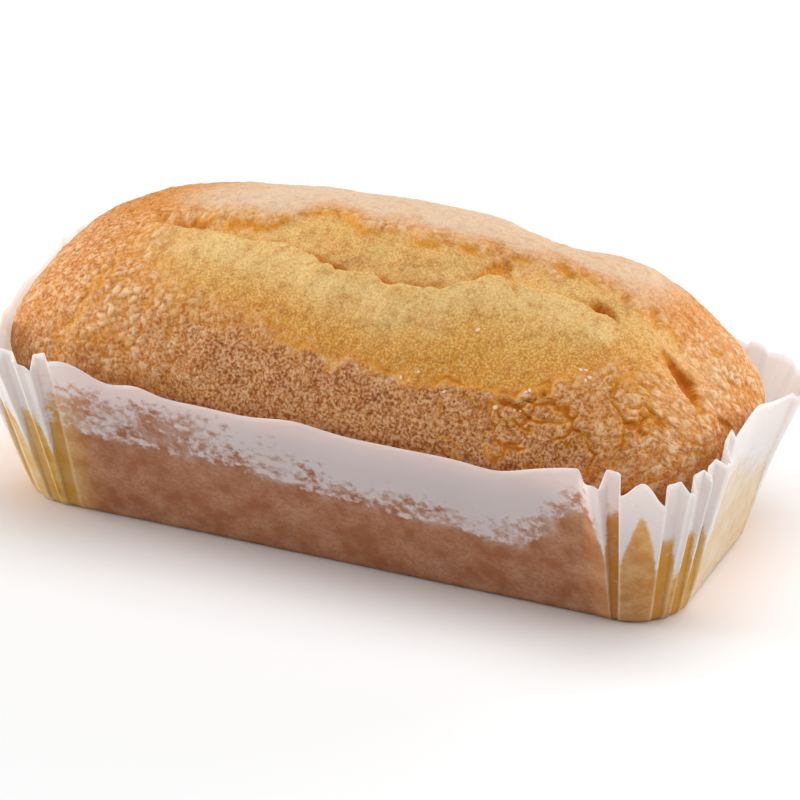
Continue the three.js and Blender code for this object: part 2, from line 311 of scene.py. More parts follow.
# Cracks in the front crust: x, place measured round the dome from the ridge, half width, depth
FRONT_CRACKS = [
    [(22.4, -21.4, 0.1, 0), (23.2, -22.0, 0.4, 0.6), (25.2, -22.2, 0.5, 0.7), (27.8, -23.1, 0.35, 0.5),
     (30.9, -22.6, 0.3, 0.4), (33.6, -20.0, 0.1, 0)],
    [(24.6, -22.6, 0.1, 0), (25.4, -24.2, 0.4, 0.5), (27.0, -24.7, 0.3, 0.5), (28.6, -24.6, 0.1, 0)],
]
FRONT_CRACK_WALL = (1.4, 0.6)
FRONT_CRACK_DEPTH = 0.5
# How dark the cracks' floors are: partly the orange crumb, partly painted shade
FRONT_CRACK_DARKNESS = 2
FRONT_CRACK_RAGGED = 0.8


def tear_at(x, y, ragged):
    """Relief in mm at the tear and the cracks, how dark their floors are, as orange crumb and painted
    shade, and how far behind the lip this is.
    """
    tear_y, tear_depth, gap = path_at(TEAR, x)
    behind = y - tear_y - ragged
    lip = LIP_SHARE * tear_depth * bell(behind, LIP_REACH)
    ledge = tear_depth * bell(max(behind, 0), LEDGE_REACH)
    crack = gap * bell(behind - GAP_BEHIND_LIP, GAP_REACH)
    height = lerp(lip, -ledge, smooth(behind, -DROP_HALF_WIDTH, DROP_HALF_WIDTH)) - crack
    end_y, end_half, end_depth = path_at(END_CRACK, x)
    off = abs(y - end_y - END_CRACK_RAGGED * ragged) / end_half
    height -= end_depth * smooth(off, *END_CRACK_WALL)
    recess_tint_and_shade = max(crack, END_CRACK_DARKNESS * min(end_depth, 1) * smooth(off, *END_CRACK_FLOOR))
    for path in FRONT_CRACKS:
        crack_girth, half, depth = path_at(path, x)
        off = abs(girth_of(y) - crack_girth - FRONT_CRACK_RAGGED * ragged) / half
        opening = smooth(off, *FRONT_CRACK_WALL)
        height -= FRONT_CRACK_DEPTH * depth * opening
        recess_tint_and_shade = max(recess_tint_and_shade, min(FRONT_CRACK_DARKNESS * depth, 1) * opening)
    return height, recess_tint_and_shade, behind


print("relief at the lip, its openness and place:", [round(value, 2) for value in tear_at(0, -11, 0)])

# %% Pockets
# Pockets: x, y, half length, half width, turn in degrees, depth, and how dark their floor is, as
# orange crumb and painted shade
POCKETS = [(-23.6, -5.2, 2.6, 1.1, -12, 0.6, 0.4), (16.5, -3.0, 1.8, 0.8, 30, 0.5, 0.6),
           (15.0, -5.0, 1.6, 0.5, 55, 0.4, 0.5), (19.4, -5.6, 3.0, 0.3, -58, 0.15, 0.25),
           (18.6, -0.9, 1.6, 0.5, 10, 0.3, 0.4), (30.3, -3.5, 2.0, 1.5, -22, 2.0, 1),
           (23.9, 0.0, 1.5, 0.6, -20, 0.4, 0.6), (35.4, 0.6, 2.2, 0.6, -62, 0.4, 0.4),
           (46.5, -3.6, 1.0, 0.5, 55, 0.4, 0.7), (38.2, 5.4, 1.4, 0.5, 0, 0.4, 0.5),
           (42.2, 4.4, 1.1, 0.45, 50, 0.35, 0.5), (45.0, 2.8, 0.7, 0.4, 50, 0.3, 0.5)]
POCKET_WALL = (1.1, 0.8)
POCKET_RAGGED = 0.6
POCKET_SPAN = 6


def pockets_at(x, y, ragged):
    """How deep the pockets are at a place in mm, and how dark, partly as painted shade."""
    deep = 0
    recess_tint_and_shade = 0
    for px, py, half_x, half_y, turn, depth, dark in POCKETS:
        if abs(x - px) < POCKET_SPAN and abs(y - py) < POCKET_SPAN:
            c = math.cos(math.radians(turn))
            s = math.sin(math.radians(turn))
            dx = x - px
            dy = y - py - POCKET_RAGGED * ragged
            hole = smooth(math.hypot((dx * c + dy * s) / half_x, (dy * c - dx * s) / half_y), *POCKET_WALL)
            deep += depth * hole
            recess_tint_and_shade = max(recess_tint_and_shade, dark * hole)
    return deep, recess_tint_and_shade


print("depth and darkness of the largest pocket:", pockets_at(30.3, -3.5, 0))

# %% Edge of the back crust
# x, y and step of the edge in mm
BACK_EDGE = [(-34, -4.0, 0), (-22.7, -4.2, 0.7), (-14, -4.6, 0.5), (-6.7, -1.0, 0.4), (-0.5, -3.2, 0.5),
             (8.6, -2.6, 0.5), (16.1, -1.8, 0.6), (22.6, -1.2, 0.4), (28, 0.6, 0.3), (34, 0.3, 0.2),
             (40, 0, 0)]
BACK_RAGGED = 1.6
BACK_WAVES = [(0.9, 5.5, 9)]
BACK_STEP = (-0.9, 1.0)
# A broken line of painted shadow, coloured like the cracks, lies at the foot of the edge's step.
BACK_BREAKS = (2.8, 7)
BACK_BROKEN = (-0.25, 0.2)
BACK_SHADOW_DARKNESS = 1.2
BACK_SHADOW_BEFORE = 0.2
BACK_SHADOW_REACH = 0.5


def back_edge_at(place, ragged):
    """Relief in mm at the back crust's edge, its painted shadow line, and how far past it this is."""
    back_y, step = path_at(BACK_EDGE, place.x)
    past = place.y - back_y - BACK_RAGGED * ragged - waves(place, BACK_WAVES)
    broken = smooth(wobble(place, *BACK_BREAKS), *BACK_BROKEN)
    line = BACK_SHADOW_DARKNESS * step * broken * bell(past + BACK_SHADOW_BEFORE, BACK_SHADOW_REACH)
    return step * smooth(past, *BACK_STEP), line, past


print("back edge at the middle:", path_at(BACK_EDGE, 0))

# %% Front edge of the pale zone
# x, place measured round the dome from the ridge, its step, and how dark the painted shadow along it is
FRONT_EDGE = [(-31, -10.0, 0, 0), (-28, -13.2, 0.1, 0), (-21, -16.6, 0.1, 0), (-13, -18.2, 0.15, 0),
              (-8.6, -19.5, 0.3, 0.1), (-3, -20.9, 0.6, 0.4), (2, -21.6, 0.8, 0.1), (6, -22.0, 0.9, 0.4),
              (9, -22.2, 0.9, 0.8), (12, -21.9, 0.9, 0.2), (15.5, -21.3, 1, 0.9), (22, -20.8, 1, 0.8),
              (24.5, -20.9, 1, 0.9), (26.4, -18.8, 0.9, 0.3), (30.8, -16.8, 0.8, 0.4), (32, -14.2, 0.6, 0.2),
              (34.8, -10.6, 0.5, 0.3), (38, -9.6, 0.4, 0), (44, -9.0, 0.2, 0), (47, -6.0, 0, 0)]
EDGE_RAGGED = 1.3
EDGE_WAVES = [(0.5, 6.5, 8), (0.9, 1.7, 10)]
EDGE_STEP = 0.3
EDGE_STEP_HALF_WIDTH = 0.35
# A broken line of painted shadow lies just above the step, where the crust stands proud of the crumb.
EDGE_BREAKS = (2.4, 19)
EDGE_BROKEN = (-0.4, 0.1)
EDGE_SHADOW_SHARES = (0.7, 1.3)
EDGE_SHADOW_PLACE = 0.4
EDGE_SHADOW_REACH = 0.4
# Loose crumbs just below the edge: size and seed of their noise, where they start and are full, and their
# share, place and reach
CRUMBLED = (1.3, 27)
CRUMBLED_FROM = (-0.1, 0.4)
CRUMBLED_SHARE = 0.9
CRUMBLED_BELOW = 0.6
CRUMBLED_REACH = 0.5


def front_edge_at(place, girth, ragged):
    """Relief in mm at the front edge, how dark its painted shadow line is, how many crumbs lie below it,
    how far above the edge this is, and how clear the edge is."""
    edge, step, opening = path_at(FRONT_EDGE, place.x)
    above = girth - edge - EDGE_RAGGED * ragged - waves(place, EDGE_WAVES)
    height = EDGE_STEP * step * smooth(above, EDGE_STEP_HALF_WIDTH, -EDGE_STEP_HALF_WIDTH)
    opening *= lerp(*EDGE_SHADOW_SHARES, smooth(wobble(place, *EDGE_BREAKS), *EDGE_BROKEN))
    line = min(opening, 1) * bell(above - EDGE_SHADOW_PLACE, EDGE_SHADOW_REACH)
    crumbled = CRUMBLED_SHARE * step * smooth(wobble(place, *CRUMBLED), *CRUMBLED_FROM)
    return height, line, crumbled * bell(above + CRUMBLED_BELOW, CRUMBLED_REACH), above, step


print("front edge of the pale zone at x = 0:", path_at(FRONT_EDGE, 0))

# %% Plates of the dried crust
# Plates: their size in mm, the width of the fissures between them as a share of it, and a seed
PLATES = [(5.2, 0.16, 17), (2.6, 0.13, 29)]
PLATE_PATCHES = 5
PLATES_FROM = (-0.05, 0.4)
FISSURE_WALL = 0.2
FISSURE_LEAST = 0.01


def fissures_at(place, warped):
    """How far the fissures of each size of plate are open at a place."""
    openings = []
    for size, width, seed in PLATES:
        nearest = noise.voronoi(warped / size)[0]
        reach = width * smooth(wobble(place, PLATE_PATCHES, seed), *PLATES_FROM)
        shut = reach <= FISSURE_LEAST
        openings.append(0 if shut else smooth(nearest[1] - nearest[0], reach, FISSURE_WALL * reach))
    return openings


right_front = Vector((30, -18, 27))
print("fissures at the right of the front:", fissures_at(right_front, right_front))

# %% [markdown]
# ## Where the crust is pale, toasted or dusty, and where light and shade are painted
# The torn middle is pale, the low front is toasted, the ends are orange and clumped, and a pale bloom
# lies on the back crust. Painted shade darkens the crust next to the paper's rim and at the left end,
# and the bloom is partly painted light. These zones could be painted on by hand. Here each is a product
# of eased steps along the loaf, round the dome or up, so one number moves it, and noise on its borders
# keeps it from looking drawn. A pair of lengths in mm says where a step starts and where it is full.

# %% Pale crumb
SPECKLES = [(1.3, 0.9, 14), (1.6, 2.1, 15)]
# How soft the front edge is in mm and how speckled, where it is faint and where it is clear
PALE_EDGE_SOFT = (4.5, 1.2)
PALE_EDGE_SPECKLED = (1, 0.5)
PALE_BACK = (1.8, -1.8)
PALE_LEFT = (-33, -18)
PALE_RIGHT = (47, 33)
AMBER_EDGE = (7, 0.5)
AMBER_LEFT = (-24, -8)


def pale_at(place, above_edge, edge_step, past_back):
    """How far the crust is torn away to pale crumb, and how amber the crumb is towards its front edge."""
    speckle = waves(place, SPECKLES)
    soft = lerp(*PALE_EDGE_SOFT, edge_step)
    pale = smooth(above_edge + speckle * lerp(*PALE_EDGE_SPECKLED, edge_step), -soft, soft)
    pale *= smooth(past_back + speckle, *PALE_BACK)
    pale *= smooth(place.x + speckle, *PALE_LEFT) * smooth(place.x + speckle, *PALE_RIGHT)
    return pale, smooth(above_edge, *AMBER_EDGE) * smooth(place.x, *AMBER_LEFT)


print("pale and amber high on the front:", pale_at(Vector((0, -14, 34)), 5, 1, -8))

# %% Toasted crust
TOAST_FRONT = (-9, -22)
TOAST_SPARED = 0.9
TOAST_LEFT = (-10, -32)
TOAST_RIGHT = (18, 40)
TOAST_RIGHT_SHARE = 0.7
# Darker low down next to the paper's rim: partly toasting, partly painted shade of the rim
LOW_SHARES = (0.85, 1)
LOW_MORE = (14, 24)
LOW_HEIGHT = (29, 23)
LOW_RIGHT = (42, 30)
LOW_LEFT = (-16, -30)
LOW_LEFT_SPARED = 0.7
# The left end is painted darker, as shade
LEFT_END = (-26, -38)
LEFT_END_SHADE = 0.45


def toast_and_shade_at(x, girth, z):
    """How far the crust is toasted, most low on the front and less at the two ends, with painted shade
    near the paper's rim and at the left end.
    """
    spared = max(smooth(x, *TOAST_LEFT), TOAST_RIGHT_SHARE * smooth(x, *TOAST_RIGHT))
    toast_and_shade = smooth(girth, *TOAST_FRONT) * (1 - TOAST_SPARED * spared)
    low = lerp(*LOW_SHARES, smooth(x, *LOW_MORE)) * smooth(z, *LOW_HEIGHT) * smooth(x, *LOW_RIGHT)
    low *= 1 - LOW_LEFT_SPARED * smooth(x, *LOW_LEFT)
    return max(toast_and_shade, low, LEFT_END_SHADE * smooth(x, *LEFT_END))


print("toast low on the front's middle:", round(toast_and_shade_at(0, -25, 22), 2))

# %% Pale bloom and painted light
BLOOM_LIGHT_DRIFT = [(5, 9, 41), (2.5, 3, 43)]
BLOOM_LIGHT_BACK = (0, 4)
BLOOM_LIGHT_BACK_DRIFT = 0.3
BLOOM_LIGHT_LEFT = (-34, -16)
BLOOM_LIGHT_RIGHT = (31, 38)
BLOOM_LIGHT_RIGHT_DRIFT = 0.5
BLOOM_LIGHT_RIGHT_SPARED = 0.95
BLOOM_LIGHT_DOWN = (21, 11)
BLOOM_LIGHT_DOWN_DRIFT = 0.6
BLOOM_LIGHT_THIN = (12, 24)
BLOOM_LIGHT_THIN_SHARE = 0.1
END_BLOOM_LIGHT = 0.4
END_BLOOM_LIGHT_RIGHT = (38, 46)
END_BLOOM_LIGHT_HEIGHT = (23, 29)


def bloom_and_light_at(place, girth, past_back):
    """How dusty and pale the crust is, partly sugar dust and partly painted light: along the upper back,
    and a little at the top of the right end.
    """
    x = place.x
    drift = waves(place, BLOOM_LIGHT_DRIFT)
    bloom_and_light = smooth(past_back + BLOOM_LIGHT_BACK_DRIFT * drift, *BLOOM_LIGHT_BACK) * smooth(x + drift, *BLOOM_LIGHT_LEFT)
    bloom_and_light *= 1 - BLOOM_LIGHT_RIGHT_SPARED * smooth(x + BLOOM_LIGHT_RIGHT_DRIFT * drift, *BLOOM_LIGHT_RIGHT)
    bloom_and_light *= smooth(girth - BLOOM_LIGHT_DOWN_DRIFT * drift, *BLOOM_LIGHT_DOWN)
    bloom_and_light *= 1 - BLOOM_LIGHT_THIN_SHARE * smooth(x, *BLOOM_LIGHT_THIN)
    return max(bloom_and_light, END_BLOOM_LIGHT * smooth(x, *END_BLOOM_LIGHT_RIGHT) * smooth(place.z, *END_BLOOM_LIGHT_HEIGHT))


print("bloom on the upper back:", round(bloom_and_light_at(Vector((0, 6, 38)), 6, 8), 2))

# %% Height and browning at one point
# Where the dome swells or sinks: x, y, height and reach in mm
SWELLS = [(-41, 5, 0.8, 8), (12, 9, 0.5, 15), (18, 11, -1.2, 5.5), (29, 12, 0.6, 5), (41, 15, -0.5, 7)]
# Noise that makes lines ragged: rows of height in mm, size of its lumps in mm, and seed
RAGGED = [(0.55, 3.2, 3), (0.3, 1.1, 5)]
WARP = 0.8
WARP_SIZE = 1.5
WARP_SEEDS = (11, 12, 13)
CRACKED_FRONT = (-8, -15)
CRACKED_RIGHT = (10, 24)
CRACKED_LEFT = (-14, -28)
CRACKED_LEFT_SHARE = 0.35
FISSURE_DEPTH = 0.25
CLUMP_SIZE = 1.3
CLUMP_WALL = (0.03, 0.35)
CLUMP_HEIGHT = 0.8
CLUMP_WAVES = [(0.7, 2.4, 23)]
CLUMP_TOAST_SPARED = 0.7
CLUMP_BACK_SPARED = 0.85
CLUMP_BACK = (-0.5, 3)
CLUMP_BACK_RIGHT = (44, 34)
CLUMP_BACK_LEFT = (-44, -32)
CLUMP_RELIEF = (0.05, 0.21)
FINE_RELIEF = (0.05, 0.08)
FINE_LUMPS = (0.7, 21)
LUMPS = [(0.28, 7, 31), (0.18, 2.6, 33)]
CREAMY_PLACE = 2.2
CREAMY_REACH = 3.6
CREAMY_LEDGE = (0.6, 2.5)
CREAMY_LEDGE_SHARE = 0.5


def crust_at(x, y, z):
    """Relief in mm over the dome, then how pale, toasted, open, creamy, clumped, dusty and amber it is.
    The toasted share also holds painted shade near the paper's rim and at the left end, the open one
    orange crumb and painted shade in cracks, pockets and under edges, the clumped one a painted
    highlight on the clump tops, and the dusty one painted light along the upper back.
    """
    place = Vector((x, y, z))
    girth = girth_of(y)
    ragged = waves(place, RAGGED)
    torn, tear_tint_and_shade, behind = tear_at(x, y, ragged)
    deep, pocket_tint_and_shade = pockets_at(x, y, ragged)
    back_step, back_shadow_line, past_back = back_edge_at(place, ragged)
    front_step, front_shadow_line, crumbled, above_edge, edge_step = front_edge_at(place, girth, ragged)
    pale, amber = pale_at(place, above_edge, edge_step, past_back)
    crust = 1 - pale

    warped = place + WARP * Vector([wobble(place, WARP_SIZE, seed) for seed in WARP_SEEDS])
    cracked = max(smooth(x, *CRACKED_RIGHT), CRACKED_LEFT_SHARE * smooth(x, *CRACKED_LEFT))
    cracked *= smooth(girth, *CRACKED_FRONT) * crust
    fissures = [cracked * opening for opening in fissures_at(place, warped)]
    recess_tint_and_shade = max(tear_tint_and_shade, pocket_tint_and_shade, back_shadow_line, front_shadow_line, *fissures)

    toast_and_shade = crust * toast_and_shade_at(x, girth, z)
    nearest = noise.voronoi(warped / CLUMP_SIZE)[0]
    crest = smooth(nearest[1] - nearest[0], *CLUMP_WALL) * (CLUMP_HEIGHT + waves(place, CLUMP_WAVES))
    even_back = smooth(past_back, *CLUMP_BACK) * smooth(x, *CLUMP_BACK_RIGHT) * smooth(x, *CLUMP_BACK_LEFT)
    clumped = crust * (1 - CLUMP_TOAST_SPARED * toast_and_shade) * (1 - CLUMP_BACK_SPARED * even_back)
    height = torn - deep + back_step + front_step - FISSURE_DEPTH * sum(fissures)
    height += lerp(*CLUMP_RELIEF, clumped) * (crest - 0.5)
    height += lerp(*FINE_RELIEF, crust) * wobble(place, *FINE_LUMPS)
    height += waves(place, LUMPS) + rise_at(SWELLS, x, y)

    # Clump tops and crumbs: the material paints them cream, partly as a painted highlight.
    crest = max(min(max(crest, 0), 1) * clumped, crumbled)
    creamy = bell(behind + CREAMY_PLACE, CREAMY_REACH) + CREAMY_LEDGE_SHARE * smooth(behind, *CREAMY_LEDGE)
    bloom_and_light = bloom_and_light_at(place, girth, past_back)
    return height, pale, toast_and_shade, min(recess_tint_and_shade, 1), min(creamy, 1), crest, bloom_and_light, amber


print("relief at the middle of the front:", [round(value, 2) for value in crust_at(0, -18, 30)])

# %% [markdown]
# ## Modelling the cake
# The grid is moved onto the dome with its relief, then its border is pulled down in a few steps to the
# foot inside the case, and the hole is filled. The browning values go along as point attributes, which
# the material reads later. That keeps the colours where the relief has its lips and cracks.

# %% Cake piece
ACROSS_SEGMENTS = 240
ALONG_SEGMENTS = 390
CRUST_LAYERS = ("pale", "toast_and_shade", "recess_tint_and_shade", "creamy", "crest", "rosy", "amber")
# The relief starts a little above the shoulder, as shares of the quarter turn up the dome
RELIEF_RANGE = (0.04, 0.22)

cake_mesh = bmesh.new()
bmesh.ops.create_grid(cake_mesh, x_segments=ALONG_SEGMENTS, y_segments=ACROSS_SEGMENTS, size=1)
layers = [cake_mesh.verts.layers.float.new(name) for name in CRUST_LAYERS]
for vert in cake_mesh.verts:
    x, y, nx, ny, inwards, upwards = dome_place(vert.co.x * LONG_SHARE, vert.co.y)
    z = dome_height(x, upwards)
    height, *values = crust_at(x, y, z)
    height *= smooth(math.asin(min(upwards, 1)) / QUARTER, *RELIEF_RANGE)
    vert.co = Vector((x + nx * inwards * height, y + ny * inwards * height, z + upwards * height))
    for layer, value in zip(layers, values):
        vert[layer] = value
print("dome points:", len(cake_mesh.verts))

# %% Body and foot of the cake
FOOT_HEIGHT = 0.6
FOOT_LENGTH = 86.0
FOOT_WIDTH = 29.5
BODY_STEPS = 3

border = [edge for edge in cake_mesh.edges if edge.is_boundary]
drop = (FOOT_HEIGHT - SHOULDER_HEIGHT) / BODY_STEPS
for step in range(BODY_STEPS):
    grown = bmesh.ops.extrude_edge_only(cake_mesh, edges=border)["geom"]
    ring = [part for part in grown if isinstance(part, bmesh.types.BMVert)]
    border = [part for part in grown if isinstance(part, bmesh.types.BMEdge) and part.is_boundary]
    before = step / BODY_STEPS
    after = (step + 1) / BODY_STEPS
    scale_x = lerp(CAKE_LENGTH, FOOT_LENGTH, after) / lerp(CAKE_LENGTH, FOOT_LENGTH, before)
    scale_y = lerp(CAKE_WIDTH, FOOT_WIDTH, after) / lerp(CAKE_WIDTH, FOOT_WIDTH, before)
    bmesh.ops.scale(cake_mesh, vec=(scale_x, scale_y, 1), verts=ring)
    bmesh.ops.translate(cake_mesh, vec=(0, 0, drop), verts=ring)
bmesh.ops.edgeloop_fill(cake_mesh, edges=border)
bmesh.ops.translate(cake_mesh, vec=(middle.x, middle.y, 0), verts=cake_mesh.verts)
bmesh.ops.scale(cake_mesh, vec=(MM, MM, MM), verts=cake_mesh.verts)
bmesh.ops.recalc_face_normals(cake_mesh, faces=cake_mesh.faces)
for face in cake_mesh.faces:
    face.smooth = True
cake_tree = BVHTree.FromBMesh(cake_mesh)
cake_data = bpy.data.meshes.new("baked_cake")
cake_mesh.to_mesh(cake_data)
cake_mesh.free()
cake = bpy.data.objects.new("baked_cake", cake_data)
bpy.context.scene.collection.objects.link(cake)
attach(cake, "root")
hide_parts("cake")
print("cake triangles:", sum(len(face.vertices) - 2 for face in cake_data.polygons))

# %% [markdown]
# ## The crust's finish
# Baked sponge has a dry, matt skin. Where it tore it is pale yellow crumb, lower down it is toasted to
# tan and brown, and the cracks show orange. A painted image could hold this, but it would blur close up.
# So the point attributes say where each of these lies, and fine noise adds the grains and pits that are
# too small to model.

# %% Where the grains lie
# Sizes in mm. The finest real grains are too small to show in the picture, so they are drawn coarser.
GRAIN_SIZE = 0.38
FINE_SIZE = 0.28
CRUMB_SIZE = 1.2
BLOTCH_SIZE = 4.0
# Baked butter sponge, torn and toasted in the oven: matt, open and grainy, so its light is soft
# and speckled.
crust_material, tree = new_material("baked_butter_sponge")
coords = add_node(tree, "ShaderNodeTexCoord", {}, "Object")
pale, toast_and_shade, recess_tint_and_shade, creamy, crest, rosy, amber = [
    add_node(tree, "ShaderNodeAttribute", {"attribute_name": name}, "Fac") for name in CRUST_LAYERS
]
grains, fine, crumbs, blotches = [
    add_node(tree, "ShaderNodeTexNoise", {
        "Vector": coords, "Scale": 1 / (size * MM), "Detail": 3.0, "Roughness": 0.65})
    for size in (GRAIN_SIZE, FINE_SIZE, CRUMB_SIZE, BLOTCH_SIZE)
]
# The pale crumb is fine and even, the crust below it coarser.
texture = add_node(tree, "ShaderNodeMix", {0: pale, 2: grains, 3: fine})
blotch_most = add_node(tree, "ShaderNodeMapRange", {"Value": rosy, "To Min": 0.35, "To Max": 0.12})
blotch_share = add_node(tree, "ShaderNodeMapRange", {
    "Value": blotches, "From Min": 0.45, "From Max": 0.65, "To Max": blotch_most})
crumb_share = add_node(tree, "ShaderNodeMapRange", {
    "Value": crumbs, "From Min": 0.36, "From Max": 0.56, "To Min": 0.45})
# Clump tops and loose crumbs are painted cream: partly their own pale colour, partly a painted highlight.
crumb_tops_and_highlight = add_node(tree, "ShaderNodeMath", {"operation": "MULTIPLY", 0: crest, 1: crumb_share})
dip_most = add_node(tree, "ShaderNodeMapRange", {"Value": rosy, "To Min": 0.4, "To Max": 0.2})
dips = add_node(tree, "ShaderNodeMapRange", {
    "Value": crumbs, "From Min": 0.5, "From Max": 0.36, "To Max": dip_most})
# Cracks, pockets and edge lines turn amber where shallow and deep orange where full: partly the crumb's own
# colour, partly painted shade.
amber_share = add_node(tree, "ShaderNodeMapRange", {"Value": recess_tint_and_shade, "From Max": 0.5})
deep_share = add_node(tree, "ShaderNodeMapRange", {"Value": recess_tint_and_shade, "From Min": 0.5})
print("crust pattern nodes:", len(tree.nodes))

# %% Light and dark grains
# The grains show most on the toasted front and least in cracks. Dark ones are also faint on the pale crumb
# and in the bloom, which is partly painted light.
light_share = 0.26
for zone, most in ((toast_and_shade, 0.62), (pale, 0.56), (recess_tint_and_shade, 0.05)):
    light_share = add_node(tree, "ShaderNodeMapRange", {
        "Value": zone, "To Min": light_share, "To Max": most})
light_grains = add_node(tree, "ShaderNodeMapRange", {
    "Value": texture, "From Min": 0.48, "From Max": 0.62, "To Max": light_share})
dark_share = 0.32
for zone, most in ((toast_and_shade, 0.82), (rosy, 0.15), (pale, 0.26), (recess_tint_and_shade, 0.1)):
    dark_share = add_node(tree, "ShaderNodeMapRange", {
        "Value": zone, "To Min": dark_share, "To Max": most})
dark_grains = add_node(tree, "ShaderNodeMapRange", {
    "Value": texture, "From Min": 0.5, "From Max": 0.35, "To Max": dark_share})
print("crust nodes with the grains:", len(tree.nodes))

# %% Crust colours
# Each row lays a colour over the ones before it, where its share says. Dark grains darken what they lie on.
# The rosy layer is partly painted light on the upper back, and the toast holds painted shade near the
# rim and at the left end.
crumb = linear("#d0973e")
for share, code in ((creamy, "#e1bb7a"), (amber, "#d18b29")):
    crumb = add_node(tree, "ShaderNodeMix", {"data_type": "RGBA", 0: share, 6: crumb, 7: linear(code)}, 2)
light_colour = add_node(tree, "ShaderNodeMix", {
    "data_type": "RGBA", 0: pale, 6: linear("#efc49a"), 7: linear("#f0d08e")}, 2)
colour = linear("#d08428")
for share, laid in ((rosy, linear("#dcc0a4")), (toast_and_shade, linear("#b97236")), (pale, crumb),
                    (blotch_share, linear("#dc9840")), (crumb_tops_and_highlight, linear("#f3cda2")),
                    (amber_share, linear("#d8922c")), (deep_share, linear("#bd660c")),
                    (light_grains, light_colour)):
    colour = add_node(tree, "ShaderNodeMix", {"data_type": "RGBA", 0: share, 6: colour, 7: laid}, 2)
for share, code in ((dips, "#cc9858"), (dark_grains, "#a07444")):
    colour = add_node(tree, "ShaderNodeMix", {
        "data_type": "RGBA", "blend_type": "MULTIPLY", 0: share, 6: colour, 7: linear(code)}, 2)
bump_strength = add_node(tree, "ShaderNodeMapRange", {"Value": pale, "To Min": 0.5, "To Max": 0.3})
grain_bump = add_node(tree, "ShaderNodeBump", {
    "Strength": bump_strength, "Distance": 0.2 * MM, "Height": texture})
sponge = add_node(tree, "ShaderNodeBsdfPrincipled", {
    "Base Color": colour, "Normal": grain_bump, "Roughness": 0.72, "IOR": 1.4, "Specular IOR Level": 0.3})
add_node(tree, "ShaderNodeOutputMaterial", {"Surface": sponge})
cake_data.materials.append(crust_material)
print("crust nodes in all:", len(tree.nodes))

# %% [markdown]
# ## The paper case
# The case is one sheet of white baking paper, folded round the corners: flat panels stand out from the
# cake, and the narrow valleys between them go in and end in small tabs. Cloth tools would fold it by
# chance, so a grid is wrapped round the case instead, one column for each place along the edge and one
# row for each height. Then the base is filled and the sheet gets its thickness.

# %% Sizes of the case
BASE_LENGTH = 88.0
BASE_WIDTH = 31.5
BASE_RADIUS = 7.0
RIM_LENGTH = 97.2
RIM_WIDTH = 43.8
RIM_RADIUS = 9.5
RIM_HEIGHT = 21.1
# Where the paper's edge stands higher or lower: x, y, height and reach in mm
EDGE_RISES = [(-40.5, -20, 2.5, 4), (-33.2, -22, 3.6, 4.4), (-23.5, -22, 1.3, 3), (-2.5, -22, 0.7, 4),
              (24, -22, -0.7, 4), (37, -22, 2.8, 8), (48, -15, 1.0, 6), (49, -3, 3.6, 7.5),
              (47, 19, -1.4, 9), (-20, 22, 0.5, 12), (-48.5, 10.5, 2.4, 7), (-48.5, -1.5, 1.2, 4),
              (-46, -16, 5.0, 4.5), (49, -9, 2.2, 3.5), (44.5, -19.5, -0.8, 2.5)]
# Where the paper's edge flares outwards: x, y, how far and reach in mm
EDGE_FLARES = [(49, 20, 2.4, 10)]
# Corner by corner from the front right, counter-clockwise: how far before the corner's arc the folds start,
# how strong they are, how far down and how far to their sides the white tips reach, and each panel's width
# with its tips' places as shares of it
PLEATS = [
    {"before": 4.6, "strength": 1.0, "drop": 7.4, "reach": 2.2,
     "panels": [(4.6, [0.75]), (7.3, [0.18, 0.82]), (3.4, [0.5]), (2.4, [0.5]), (3.9, [0.5])]},
    {"before": 1.0, "strength": 0.35, "drop": 6, "reach": 1.6,
     "panels": [(4.4, [0.4]), (5.6, [0.2, 0.8]), (4.2, [0.5]), (6.3, [0.7])]},
    {"before": 4.0, "strength": 0.6, "drop": 6, "reach": 1.6,
     "panels": [(5.4, [0.3]), (4.3, [0.5]), (6.2, [0.2, 0.8]), (4.8, [0.6])]},
    {"before": 4.3, "strength": 0.8, "drop": 6, "reach": 1.6,
     "panels": [(4.8, [0.5]), (4.2, [0.6]), (4.6, [0.7]), (4.4, [0.75]), (4.5, [0.75])]},
]
print("panels:", [len(pleat["panels"]) for pleat in PLEATS])

# %% Shape of one panel
VALLEY_HALF_WIDTH = 0.75
VALLEY_FLANK = 0.4
VALLEY_EDGE = VALLEY_HALF_WIDTH + VALLEY_FLANK
PANEL_SAG = 0.15
WIDE_PANEL = 6.8
NARROW_PANEL = 5.5
WIDE_HUMP = 0.9
TAB_RISE = 0.6
NOTCH_DROP = 1.9
PANEL_SLOPE_DROP = 0.6
PANEL_MIDDLE_DROP = 1.1
FIRST_PANEL_DROP = 0.6
START_FOLD = 0.4
START_DROP = 0.9
START_REACH = 12
CREASE_WIDTH = 0.22


